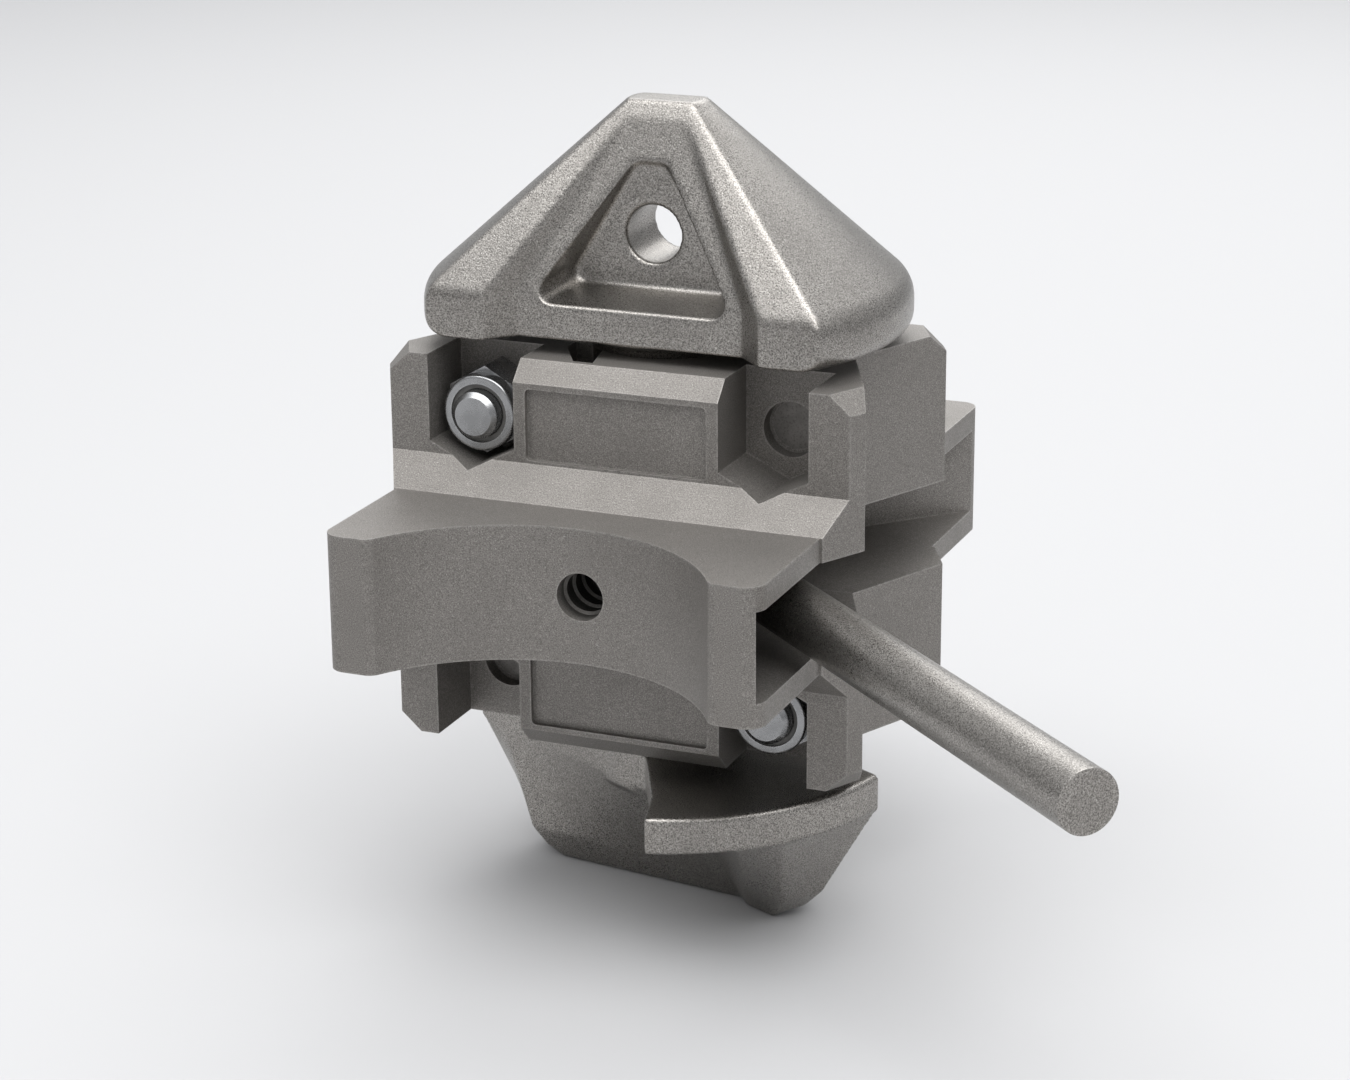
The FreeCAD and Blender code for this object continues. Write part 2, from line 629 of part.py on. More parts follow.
# A lock nut with the room for its nylon insert.
def lock_nut(word, x, z):
    whole = nut_height + nut_collar_height
    six = hexagon(word + "_nut_hexagon", nut_corner, nut_height, x, -pocket_floor, z)
    collar = standing(word + "_nut_round", nut_collar_radius, whole, FRONTWARD, x, -pocket_floor, z)

    def collar_edge(edge):
        return len(edge.Vertexes) == 1 and near(edge.CenterOfMass.y, -(pocket_floor + whole).value)

    collar = edge_finish(word + "_nut_rounding", collar, [(collar_edge, nut_rounding)])
    blank = fuse(word + "_nut_blank", [six, collar])
    thread = standing(word + "_nut_thread", bolt_radius, whole + 2, FRONTWARD, x, 1 - pocket_floor, z)
    room = standing(word + "_nut_room", insert_radius, insert_height, FRONTWARD, x, -insert_face, z)
    mouth_radius = insert_radius - nut_lip
    mouth = standing(word + "_nut_mouth", mouth_radius, nut_collar_height + 2, FRONTWARD, x, -insert_face, z)
    return cut(word + "_lock_nut", blank, [thread, room, mouth])


insert_face = pocket_floor + nut_height
insert_radius = nut_collar_radius - nut_lip
for level, side, word in ((1, -1, "upper"), (-1, 1, "lower")):
    x = side * pocket_middle
    z = level * bolt_height
    finished(bolt(word, x, z), word + "_bolt")
    finished(lock_nut(word, x, z), word + "_lock_nut")
    insert = flat_ring(word + "_nut_insert", insert_radius, insert_height, x, -insert_face, z)
    finished(insert, word + "_nut_insert")
    pin = standing(word + "_locating_pin", dowel_radius, dowel_reach * 2, FRONTWARD, -x, dowel_reach, z)
    finished(pin, word + "_locating_pin")

# Thrust ring that carries the hub on the housing's floor.
ring_profile = [
    (thrust_inner, -window_half), (thrust_outer, -window_half),
    (thrust_outer, -(hub_half + thrust_gap)), (thrust_inner, -(hub_half + thrust_gap)),
]
finished(revolve("thrust_ring", outline("thrust_ring_profile", UPRIGHT, [ring_profile])), "thrust_ring")

# Return spring with one leg in the rear half and one against the driving pin.
helix = doc.addObject("Part::Helix", "spring_path")
helix.setExpression("Radius", coil_radius.text)
helix.setExpression("Pitch", coil_pitch.text)
helix.setExpression("Height", (coil_pitch * coil_turns).text)
helix.Placement = Placement(Vector(0, 0, 0), Rotation(Vector(0, 0, 1), 180))
seat_at(helix, 0, 0, coil_start)
wire = doc.addObject("Part::Circle", "spring_wire")
wire.Placement = UPRIGHT
wire.setExpression("Radius", wire_radius.text)
seat_at(wire, -coil_radius, 0, coil_start)
doc.recompute()
coils = doc.addObject("Part::Sweep", "spring_coils")
coils.Sections = [wire]
coils.Spine = (helix, ["Edge%d" % (i + 1) for i in range(len(helix.Shape.Edges))])
coils.Solid = True
coils.Frenet = True
doc.recompute([coils])
leg_length = leg_reach - coil_radius
leftward = Placement(Vector(0, 0, 0), Rotation(Vector(0, 1, 0), -90))
low_leg = standing("spring_low_leg", wire_radius, leg_length, leftward, -coil_radius, 0, coil_start)
high_leg = standing("spring_high_leg", wire_radius, leg_length, REARWARD, 0, coil_radius, coil_end)
finished(fuse("return_spring", [coils, low_leg, high_leg]), "return_spring")

# Upper spindle: the cone, its neck and the shaft down into the hub.
head_profile = [
    (0, head_bottom), (head_radius, head_bottom), (head_radius, head_rim),
    (head_top_radius, head_top), (0, head_top),
]
turned = revolve("cone_turned", outline("cone_turned_profile", UPRIGHT, [head_profile]))


def widest_circle(edge, level):
    around = 2 * math.pi * head_radius.value
    return near(edge.CenterOfMass.z, level.value, 0.1) and near(edge.Length, around, 1)


def rim_circle(edge):
    return widest_circle(edge, head_rim)


def foot_circle(edge):
    return widest_circle(edge, head_bottom)


turned = edge_finish("cone_rounded", turned, [(rim_circle, rim_rounding), (foot_circle, foot_rounding)])
flat_profile = [
    (-head_half_width, head_bottom - 1), (head_half_width, head_bottom - 1), (head_half_width, head_rim),
    (head_top_half, head_top), (head_top_half, head_top + 1), (-head_top_half, head_top + 1),
    (-head_top_half, head_top), (-head_half_width, head_rim),
]
flats_sketch = outline("cone_flats_profile", ACROSS, [flat_profile])
flats = extrude("cone_flats", flats_sketch, head_radius + 5, head_radius + 5)


def flank_edge(edge):
    middle = edge.CenterOfMass
    level = near(middle.z, head_rim.value, 0.1)
    return level and near(abs(middle.y), head_half_width.value, 0.1)


flats = edge_finish("cone_flats_rounded", flats, [(flank_edge, foot_rounding)])
head = common("cone_head", [turned, flats])

# The hollow middle of the cone's two faces, narrower towards the top, with slanting side walls.
hollow_levels = (
    (head_bottom - 2, middle_half_low, middle_half_width, hollow_slant),
    (head_rim, middle_half_low, middle_half_width, hollow_slant),
    (middle_top, middle_half_high, middle_top_half, hollow_slant_top),
)
hollows = []
for s, word in ((-1, "front"), (1, "rear")):
    levels = []
    for step, (level, half_length, inner, slant) in enumerate(hollow_levels):
        ring = [
            (-half_length, s * inner), (half_length, s * inner),
            (half_length + slant, s * (inner + slant)), (-(half_length + slant), s * (inner + slant)),
        ]
        levels.append(outline("%s_hollow_level_%d" % (word, step), FLAT, [ring], ("z", level)))
    for part, pair in enumerate((levels[:2], levels[1:])):
        loft = doc.addObject("Part::Loft", "%s_hollow_%d" % (word, part))
        loft.Sections = pair
        loft.Solid = True
        loft.Ruled = True
        doc.recompute([loft])
        hollows.append(loft)
head = cut("cone_hollowed", head, hollows)

# The triangular recess on both faces and the cross hole through the web between them.
recess_lean = (recess_half_low - recess_half_high) / (recess_high - recess_low)
mouth_half_low = recess_half_low + recess_flare
mouth_height = recess_high + recess_rise - recess_low + recess_drop
recess_levels = (
    (web_half, recess_half_low, recess_low, recess_half_high, recess_high),
    (
        head_half_width, mouth_half_low, recess_low - recess_drop,
        mouth_half_low - mouth_height * recess_lean, recess_high + recess_rise,
    ),
)
tools = []
for s, word in ((-1, "front"), (1, "rear")):
    mouths = []
    for step, (depth, half_low, low, half_high, high) in enumerate(recess_levels):
        triangle = [(-half_low, low), (half_low, low), (half_high, high), (-half_high, high)]
        drawn = outline("%s_recess_level_%d" % (word, step), UPRIGHT, [triangle], ("y", s * depth))
        mouths.append(drawn)
    block = doc.addObject("Part::Loft", word + "_recess_block")
    block.Sections = mouths
    block.Solid = True
    block.Ruled = True
    doc.recompute([block])
    tools.append(edge_finish(word + "_recess", block, [(crossing_edge, recess_rounding)]))
through = head_half_width * 2
tools.append(standing("cross_hole", eye_radius, through, FRONTWARD, 0, head_half_width, eye_height))
head = cut("cone_recessed", head, tools)
flare_low = head_bottom - boss_drop
shaft_profile = [
    (0, stub_gap), (stub_radius, stub_gap), (stub_radius, hub_half), (waist_radius, hub_half),
    (waist_radius, spring_room_top + 1), (journal_radius, spring_room_top + 1),
    (journal_radius, collar_top + neck_gap), (neck_radius, collar_top + neck_gap),
    (neck_radius, flare_low), (boss_radius, flare_low + boss_height),
    (boss_radius, head_bottom + boss_sunk), (0, head_bottom + boss_sunk),
]
shaft = revolve("upper_shaft", outline("upper_shaft_profile", UPRIGHT, [shaft_profile]))


# A bar at the handle's turn, tipped over by a pitch and a roll.
def turned_bar(name, radius, length, pitch, roll, x, y, z):
    cylinder = doc.addObject("Part::Cylinder", name)
    cylinder.setExpression("Radius", Size.wrap(radius).text)
    cylinder.setExpression("Height", Size.wrap(length).text)
    place = "; ".join(Size.wrap(value).text for value in (x, y, z))
    turn = "%s; %d; %d" % ((-nose_angle).text, pitch, roll)
    cylinder.setExpression("Placement", "placement(vector(%s); rotation(%s))" % (place, turn))
    doc.recompute([cylinder])
    return cylinder


# A bar across the spindle at right angles to the handle.
def cross_bar(name, radius, half, height):
    x = half * sine(nose_angle)
    y = half * cosine(nose_angle)
    return turned_bar(name, radius, half * 2, 0, 90, x, y, height)


# A bar along the handle's direction.
def handle_bar(name, radius, start, end):
    x = start * cosine(nose_angle)
    y = -(start * sine(nose_angle))
    return turned_bar(name, radius, end - start, 90, 0, x, y, 0)


upper = fuse("upper_spindle_blank", [head, shaft])
upper_pin_hole = cross_bar("upper_spindle_pin_hole", hub_pin_radius, hub_radius + 1, hub_pin_height)
finished(cut("upper_spindle", upper, [upper_pin_hole]), "upper_spindle")

# A point at a reach from the axis, in a direction.
def polar(radius, angle):
    return (radius * cosine(angle), radius * sine(angle))


# Lower nose: two ledges round a hub, with slanting wedges that run down to a narrow ridge.
ledge_from = -(nose_angle + ledge_half_angle)
ledge_to = ledge_half_angle - nose_angle
ledge_corners = (
    (ledge_root, ledge_root_angle, ()),
    (ledge_bend, ledge_from, ()),
    (ledge_radius, ledge_from, (ledge_radius, "left")),
    (ledge_radius, ledge_to, ()),
)
plan = []
for sign in (1, -1):
    for radius, angle, arc in ledge_corners:
        x, y = polar(radius, angle)
        plan.append((sign * x, sign * y) + arc)
ledge_sketch = outline("ledge_plan", FLAT, [plan], ("z", -ledge_bottom))
ledges = extrude("ledge_plate", ledge_sketch, ledge_bottom - ledge_top)


def rim_edge(edge):
    middle = edge.valueAt((edge.FirstParameter + edge.LastParameter) / 2)
    far = near(math.hypot(middle.x, middle.y), ledge_radius.value, 0.05)
    return far and near(edge.CenterOfMass.z, -ledge_top.value, 0.05)


ledges = edge_finish("ledge_rounded", ledges, [(rim_edge, ledge_rounding)])

# Corners at four levels: the flank's end and root, then the tooth's left edge, ridge and end.
wedge_radius = ledge_radius - wedge_inset
left_x, left_y = polar(wedge_radius, wedge_left)
ridge_x, ridge_y = polar(wedge_radius, wedge_ridge)
end_x, end_y = polar(wedge_radius, ledge_to)
nose_levels = [(-ledge_bottom, (
    (flank_end, -flank_end_side), (flank_root, -flank_root_side),
    (left_x, left_y), (ridge_x, ridge_y), (end_x, end_y),
))]
lower_levels = (
    ("shoulder", nose_shoulder, shoulder_corners),
    ("heel", nose_heel, heel_corners),
    ("tip", nose_bottom, tip_corners),
)
for word, level, corners in lower_levels:
    ring = []
    for index, (along, side) in enumerate(corners):
        x = size("%s_along_%d" % (word, index + 1), along, "nose's %s, corner %d, along" % (word, index + 1))
        y = size("%s_side_%d" % (word, index + 1), side, "nose's %s, corner %d, side" % (word, index + 1))
        ring.append((x, -y))
    nose_levels.append((-level, tuple(ring)))
sections = []
for step, (level, corners) in enumerate(nose_levels):
    ring = [(sign * x, sign * y) for sign in (1, -1) for x, y in corners]
    sections.append(outline("nose_level_%d" % step, FLAT, [ring], ("z", level)))
wedges = doc.addObject("Part::Loft", "nose_wedges")
wedges.Sections = sections
wedges.Solid = True
wedges.Ruled = True
doc.recompute([wedges])
low_shaft_profile = [
    (0, -(ledge_bottom + 2)), (nose_hub, -(ledge_bottom + 2)), (nose_hub, -ledge_top),
    (journal_radius, -(collar_top + neck_gap)), (journal_radius, -window_half),
    (shoulder_radius, -hub_half), (stub_radius, -hub_half), (stub_radius, -stub_gap), (0, -stub_gap),
]
low_shaft = revolve("lower_shaft", outline("lower_shaft_profile", UPRIGHT, [low_shaft_profile]))
nose = fuse("lower_nose_blank", [ledges, wedges, low_shaft])
lower_pin_hole = cross_bar("lower_nose_pin_hole", hub_pin_radius, hub_radius + 1, -hub_pin_height)
finished(cut("lower_nose", nose, [lower_pin_hole]), "lower_nose")

# Handle hub with the holes for its rod and pins.
hub_profile = [
    (stub_radius, -hub_half), (hub_radius - hub_chamfer, -hub_half), (hub_radius, -(hub_half - hub_chamfer)),
    (hub_radius, hub_half - hub_chamfer), (hub_radius - hub_chamfer, hub_half), (stub_radius, hub_half),
]
hub = revolve("hub_blank", outline("hub_profile", UPRIGHT, [hub_profile]))
drive_at = polar(drive_pin_at, drive_angle)
pin_at = polar(rod_pin_at, -nose_angle)
drive_foot = hub_half - drive_pin_sunk
drive_length = drive_pin_top - drive_foot
lock_foot = -rod_pin_depth
lock_length = hub_half - rod_pin_sunk + rod_pin_depth
lock_room = hub_half + rod_pin_depth + 1
hub = cut("handle_hub", hub, [
    handle_bar("hub_rod_hole", rod_radius, rod_start, hub_radius + 2),
    cross_bar("hub_upper_pin_hole", hub_pin_radius, hub_radius + 1, hub_pin_height),
    cross_bar("hub_lower_pin_hole", hub_pin_radius, hub_radius + 1, -hub_pin_height),
    standing("hub_drive_hole", drive_pin_radius, drive_length, FLAT, drive_at[0], drive_at[1], drive_foot),
    standing("hub_lock_hole", rod_pin_radius, lock_room, FLAT, pin_at[0], pin_at[1], lock_foot),
])
finished(hub, "handle_hub")
finished(cross_bar("upper_hub_pin", hub_pin_radius, hub_pin_half, hub_pin_height), "upper_hub_pin")
finished(cross_bar("lower_hub_pin", hub_pin_radius, hub_pin_half, -hub_pin_height), "lower_hub_pin")

# Handle rod with its lock pin, and the pin that drives the spring.
rod = handle_bar("rod_blank", rod_radius, rod_start, rod_end)
lock_hole = standing("rod_lock_hole", rod_pin_radius, lock_room, FLAT, pin_at[0], pin_at[1], lock_foot)
finished(cut("handle_rod", rod, [lock_hole]), "handle_rod")
lock_pin = standing("rod_lock_pin", rod_pin_radius, lock_length, FLAT, pin_at[0], pin_at[1], lock_foot)
finished(lock_pin, "rod_lock_pin")
drive_pin = standing("drive_pin", drive_pin_radius, drive_length, FLAT, drive_at[0], drive_at[1], drive_foot)
finished(drive_pin, "drive_pin")

# Checks and hand-over.
doc.recompute()
for obj in doc.Objects:
    if "Invalid" in obj.State or "Error" in obj.State:
        raise RuntimeError("%s is not valid: %s" % (obj.Name, obj.State))
names = set()
for obj in nodes:
    shape = obj.Shape
    if shape.isNull() or not shape.isValid() or shape.Volume <= 0:
        raise RuntimeError("%s has no valid solid" % obj.Label)
    if obj.Label in names:
        raise RuntimeError("%s is named twice" % obj.Label)
    names.add(obj.Label)
    shape.exportStep("parts/%s.step" % obj.Label)
    box = shape.BoundBox
    print("%-22s solids %d  volume %10.1f" % (obj.Label, len(shape.Solids), shape.Volume))
    print("    x %.1f to %.1f" % (box.XMin, box.XMax))
    print("    y %.1f to %.1f" % (box.YMin, box.YMax))
    print("    z %.1f to %.1f" % (box.ZMin, box.ZMax))
print("written %d parts" % len(names))
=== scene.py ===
"""Looks of a container twistlock: cast housing, turning spindle, handle rod, small parts."""

from __future__ import annotations

import json
import logging
import math
from dataclasses import dataclass, field
from enum import Enum
from typing import Any, Dict, Optional, Tuple, Union

import bmesh
import bpy
from mathutils import Matrix, Vector


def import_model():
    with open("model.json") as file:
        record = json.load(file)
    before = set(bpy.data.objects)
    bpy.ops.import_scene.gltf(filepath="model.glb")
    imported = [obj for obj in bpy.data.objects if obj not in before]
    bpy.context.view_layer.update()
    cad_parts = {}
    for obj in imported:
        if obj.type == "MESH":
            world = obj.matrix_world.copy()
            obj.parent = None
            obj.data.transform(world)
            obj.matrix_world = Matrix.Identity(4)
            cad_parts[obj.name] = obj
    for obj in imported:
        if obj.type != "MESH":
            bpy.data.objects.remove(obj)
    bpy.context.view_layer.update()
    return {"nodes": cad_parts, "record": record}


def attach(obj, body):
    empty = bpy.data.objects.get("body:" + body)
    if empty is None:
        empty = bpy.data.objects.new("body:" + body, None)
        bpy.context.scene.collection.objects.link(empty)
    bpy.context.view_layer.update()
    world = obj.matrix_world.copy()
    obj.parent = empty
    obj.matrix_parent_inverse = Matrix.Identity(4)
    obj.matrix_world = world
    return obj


MM = 0.001
MIDDLE = 0.5  # the middle of a noise
LOG = logging.getLogger("twistlock")

Band = Tuple[float, float]
Colour = Tuple[float, float, float]
Operand = Union["Wire", float]
Value = Union["Wire", float, Colour]


class Body(Enum):
    """The two bodies that the pieces ride on."""

    HOUSING = "housing"
    SPINDLE = "spindle"


class Slot(Enum):
    """The record's material slots."""

    CASTING = "casting"
    FORGING = "forging"
    ZINC = "zinc"
    STEEL = "steel"
    NYLON = "nylon"


@dataclass(frozen=True)
class Grain:
    """A noise: the size of its grain in millimetres, and the finer layers and their strength."""

    size: float
    layers: float
    strength: float


class Wire:
    """A shader socket that takes part in Python sums."""

    def __init__(self, graph: "Graph", socket: bpy.types.NodeSocket) -> None:
        """Keeps the graph that the socket belongs to and the socket."""
        self.graph = graph
        self.socket = socket

    def _math(self, operation: str, first: Operand, second: Operand) -> "Wire":
        """Adds one Math node.

        Args:
            operation: The Math node's operation.
            first: Its first value.
            second: Its second value.

        Returns:
            The node's result.
        """
        return self.graph.node("ShaderNodeMath", {"operation": operation}, {0: first, 1: second})

    def __add__(self, other: Operand) -> "Wire":
        """self + other."""
        return self._math("ADD", self, other)

    __radd__ = __add__

    def __sub__(self, other: Operand) -> "Wire":
        """self - other."""
        return self._math("SUBTRACT", self, other)

    def __rsub__(self, other: float) -> "Wire":
        """other - self."""
        return self._math("SUBTRACT", other, self)

    def __mul__(self, other: Operand) -> "Wire":
        """self * other."""
        return self._math("MULTIPLY", self, other)

    __rmul__ = __mul__

    def __pow__(self, other: float) -> "Wire":
        """self raised to other."""
        return self._math("POWER", self, other)

    def between(
        self, low: float, high: float, to_low: float = 0.0, to_high: float = 1.0
    ) -> "Wire":
        """Maps the value smoothly from one range to another.

        Args:
            low: Start of the range.
            high: End of the range.
            to_low: What low becomes.
            to_high: What high becomes.

        Returns:
            The mapped value.
        """
        values = {
            "Value": self, "From Min": low, "From Max": high, "To Min": to_low, "To Max": to_high,
        }
        return self.graph.node("ShaderNodeMapRange", {"interpolation_type": "SMOOTHSTEP"}, values)


class Graph:
    """The nodes of one material or of the world."""

    def __init__(self, name: str, world: bool = False) -> None:
        """Makes an empty material or world with its output.

        Args:
            name: Its name.
            world: Whether it is a world.
        """
        self.owner = bpy.data.worlds.new(name) if world else bpy.data.materials.new(name)
        self.owner.use_nodes = True
        self.tree = self.owner.node_tree
        self.tree.nodes.clear()
        kind = "ShaderNodeOutputWorld" if world else "ShaderNodeOutputMaterial"
        self.output = self.tree.nodes.new(kind)

    def node(
        self, kind: str, settings: Dict[str, Any], inputs: Dict[Any, Value], result: Any = 0
    ) -> Wire:
        """Adds any node.

        Args:
            kind: The node's type.
            settings: Its properties.
            inputs: The values or links of its sockets, by name or number.
            result: The output that is wanted, by name or number.

        Returns:
            The wanted output.
        """
        node = self.tree.nodes.new(kind)
        for name, value in settings.items():
            setattr(node, name, value)
        for name, value in inputs.items():
            socket = node.inputs[name]
            if isinstance(value, Wire):
                self.tree.links.new(value.socket, socket)
            elif isinstance(value, tuple) and socket.type == "RGBA":
                socket.default_value = (*value, 1.0)
            else:
                socket.default_value = value
        return Wire(self, node.outputs[result])

    def place(self) -> Wire:
        """Where a point of the surface is, in the object's own metres."""
        return self.node("ShaderNodeTexCoord", {}, {}, "Object")

    def split(self, vector: Wire) -> Tuple[Wire, Wire, Wire]:
        """Takes a vector apart.

        Args:
            vector: The vector.

        Returns:
            Its X, Y and Z.
        """
        across = self.node("ShaderNodeSeparateXYZ", {}, {0: vector}, "X")
        outputs = across.socket.node.outputs
        return across, Wire(self, outputs["Y"]), Wire(self, outputs["Z"])

    def noise(self, grain: Grain) -> Wire:
        """Noise of a given grain.

        Args:
            grain: The grain and its finer layers.

        Returns:
            The noise, around the middle.
        """
        inputs = {
            "Vector": self.place(), "Scale": 1.0 / (grain.size * MM), "Detail": grain.layers,
            "Roughness": grain.strength,
        }
        return self.node("ShaderNodeTexNoise", {"noise_dimensions": "3D"}, inputs, "Fac")

    def mix(self, share: Operand, low: Value, high: Value) -> Wire:
        """Mixes two colours.

        Args:
            share: Share of the second colour.
            low: The first colour.
            high: The second colour.

        Returns:
            The mixed colour.
        """
        first, second, mixed = 6, 7, 2
        inputs = {"Factor": share, first: low, second: high}
        return self.node("ShaderNodeMix", {"data_type": "RGBA"}, inputs, mixed)

    def bump(self, height: Wire, depth: float, under: Optional[Wire] = None) -> Wire:
        """Turns a height into a bumped normal.

        Args:
            height: The height, 0 to 1.
            depth: What 1 means, in millimetres.
            under: A normal that is bumped already.

        Returns:
            The normal.
        """
        inputs: Dict[Any, Value] = {"Height": height, "Distance": depth * MM, "Strength": 1.0}
        if under is not None:
            inputs["Normal"] = under
        return self.node("ShaderNodeBump", {}, inputs)

    def edges(self, radius: float, sharp: float = 0.18, samples: int = 4) -> Wire:
        """How sharp an edge is nearby, from 0 on a flat face to 1.

        Args:
            radius: How far an edge is felt, in millimetres.
            sharp: How far the rounded normal leans away where the mask is 1.
            samples: How many rays look for the edge.

        Returns:
            The mask.
        """
        soft = self.node("ShaderNodeBevel", {"samples": samples}, {"Radius": radius * MM})
        flat = self.node("ShaderNodeNewGeometry", {}, {}, "Normal")
        dot = {"operation": "DOT_PRODUCT"}
        same = self.node("ShaderNodeVectorMath", dot, {0: soft, 1: flat}, "Value")
        return (1.0 - same).between(0.0, sharp)

    def surface(self, **sockets: Value) -> bpy.types.Material:
        """Ends the graph with a Principled shader.

        Args:
            sockets: Its sockets, with _ for a space.

        Returns:
            The finished material.
        """
        inputs = {name.replace("_", " "): value for name, value in sockets.items()}
        return self.finish(self.node("ShaderNodeBsdfPrincipled", {}, inputs))

    def finish(self, shader: Wire) -> Any:
        """Joins the last shader to the output.

        Args:
            shader: The last shader.

        Returns:
            The material or the world.
        """
        self.tree.links.new(shader.socket, self.output.inputs["Surface"])
        return self.owner


@dataclass(frozen=True)
class CastFinish:
    """Fine-grained blasted casting, a little brighter along worn edges, with painted shade on the
    wall of the front hole.

    Depths, edges and the hole are in millimetres. A band is the part of the noise over which
    a mask rises from 0 to 1, and a share is the strength of the mask.
    """

    name: str = "blasted_casting"
    colour: Colour = (0.268, 0.253, 0.236)
    dark: Colour = (0.140, 0.131, 0.121)
    glint: Colour = (0.500, 0.485, 0.460)
    worn: Colour = (0.480, 0.463, 0.440)
    # painted shade: a near-black colour for the wall of the front hole, where shade falls
    hole_shade: Colour = (0.020, 0.018, 0.016)
    metallic: float = 0.62
    roughness: float = 0.52
    speckle: Grain = Grain(0.24, 2.0, 0.65)
    speckle_depth: float = 0.030
    speckle_band: Band = (0.34, 0.62)
    speckle_roughness: float = 0.30
    glint_band: Band = (0.62, 0.74)
    glint_share: float = 0.80
    pits: Grain = Grain(2.2, 3.0, 0.55)
    pit_depth: float = 0.035
    patches: Grain = Grain(16.0, 4.0, 0.6)
    patch_band: Band = (0.38, 0.72)
    patch_share: float = 0.20
    patch_roughness: float = 0.16
    breaks: Grain = Grain(1.3, 3.0, 0.5)
    break_band: Band = (0.28, 0.60)
    wear: float = 0.45
    wear_gloss: float = 0.15
    edge: float = 0.8
    # strength of the painted shade in the front hole
    hole_shade_share: float = 0.62
    hole_radius: float = 5.2
    hole_rim: float = 0.1
    hole_mouth: float = -46.6
    hole_mouth_fade: float = 3.0
    hole_end: float = -22.0
    hole_end_fade: float = 2.0

    def hole(self, graph: Graph) -> Wire:
        """Finds the wall of the front hole, where shade is painted.

        Args:
            graph: The material's graph.

        Returns:
            The mask.
        """
        across, along, height = graph.split(graph.place())
        reach = (across * across + height * height) ** 0.5
        wall, rim = self.hole_radius * MM, (self.hole_radius + self.hole_rim) * MM
        mouth, behind = self.hole_mouth * MM, (self.hole_mouth + self.hole_mouth_fade) * MM
        end, beyond = self.hole_end * MM, (self.hole_end + self.hole_end_fade) * MM
        inside = reach.between(wall, rim, 1.0, 0.0)
        front = along.between(end, beyond, 1.0, 0.0)
        return inside * front * along.between(mouth, behind)

    def make(self) -> bpy.types.Material:
        """Builds the material.

        Returns:
            The material.
        """
        graph = Graph(self.name)
        speckle = graph.noise(self.speckle)
        patches = graph.noise(self.patches)
        tone = graph.mix(speckle.between(*self.speckle_band), self.dark, self.colour)
        tone = graph.mix(speckle.between(*self.glint_band) * self.glint_share, tone, self.glint)
        tone = graph.mix(patches.between(*self.patch_band) * self.patch_share, tone, self.dark)
        breaks = graph.noise(self.breaks).between(*self.break_band)
        wear = graph.edges(self.edge) * breaks * self.wear
        tone = graph.mix(wear, tone, self.worn)
        # painted shade: the front hole's wall is darkened towards near black
        tone = graph.mix(self.hole(graph) * self.hole_shade_share, tone, self.hole_shade)
        rough = (speckle - MIDDLE) * self.speckle_roughness + self.roughness
        rough = rough - wear * self.wear_gloss + (patches - MIDDLE) * self.patch_roughness
        fine = graph.bump(speckle, self.speckle_depth)
        normal = graph.bump(graph.noise(self.pits), self.pit_depth, fine)
        return graph.surface(
            Base_Color=tone, Metallic=self.metallic, Roughness=rough, Normal=normal
        )


@dataclass(frozen=True)
class ForgedFinish(CastFinish):
    """Blasted forging with a slightly coarser, brighter grain."""

    name: str = "blasted_forging"
    colour: Colour = (0.388, 0.369, 0.345)
    dark: Colour = (0.150, 0.142, 0.132)
    glint: Colour = (0.760, 0.740, 0.705)
    worn: Colour = (0.600, 0.584, 0.558)
    metallic: float = 0.94
    roughness: float = 0.31
    speckle: Grain = Grain(0.28, 2.0, 0.65)
    speckle_depth: float = 0.060
    pits: Grain = Grain(3.2, 3.0, 0.55)
    pit_depth: float = 0.050
    wear: float = 0.12
    edge: float = 1.4


@dataclass(frozen=True)
class ZincFinish:
    """Plain zinc on nuts and bolts, dull in clouds and worn along the edges."""

    name: str = "plain_zinc"
    colour: Colour = (0.335, 0.338, 0.343)
    dull: Colour = (0.215, 0.217, 0.220)
    worn: Colour = (0.66, 0.66, 0.66)
    metallic: float = 0.95
    roughness: float = 0.27
    clouds: Grain = Grain(5.0, 3.0, 0.55)
    cloud_band: Band = (0.35, 0.75)
    cloud_share: float = 0.5
    cloud_roughness: float = 0.18
    speckle: Grain = Grain(0.30, 2.0, 0.6)
    speckle_depth: float = 0.003
    speckle_band: Band = (0.55, 0.75)
    speckle_share: float = 0.12
    speckle_roughness: float = 0.10
    breaks: Grain = Grain(0.9, 2.0, 0.5)
    break_band: Band = (0.3, 0.6)
    wear: float = 0.5
    edge: float = 0.5

    def make(self) -> bpy.types.Material:
        """Builds the material.

        Returns:
            The material.
        """
        graph = Graph(self.name)
        clouds = graph.noise(self.clouds)
        speckle = graph.noise(self.speckle)
        tone = graph.mix(
            clouds.between(*self.cloud_band) * self.cloud_share, self.colour, self.dull
        )
        dust = speckle.between(*self.speckle_band) * self.speckle_share
        tone = graph.mix(dust, tone, self.dull)
        breaks = graph.noise(self.breaks).between(*self.break_band)
        tone = graph.mix(graph.edges(self.edge) * breaks * self.wear, tone, self.worn)
        rough = (clouds - MIDDLE) * self.cloud_roughness
        rough = rough + (speckle - MIDDLE) * self.speckle_roughness + self.roughness
        normal = graph.bump(speckle, self.speckle_depth)
        return graph.surface(
            Base_Color=tone, Metallic=self.metallic, Roughness=rough, Normal=normal
        )


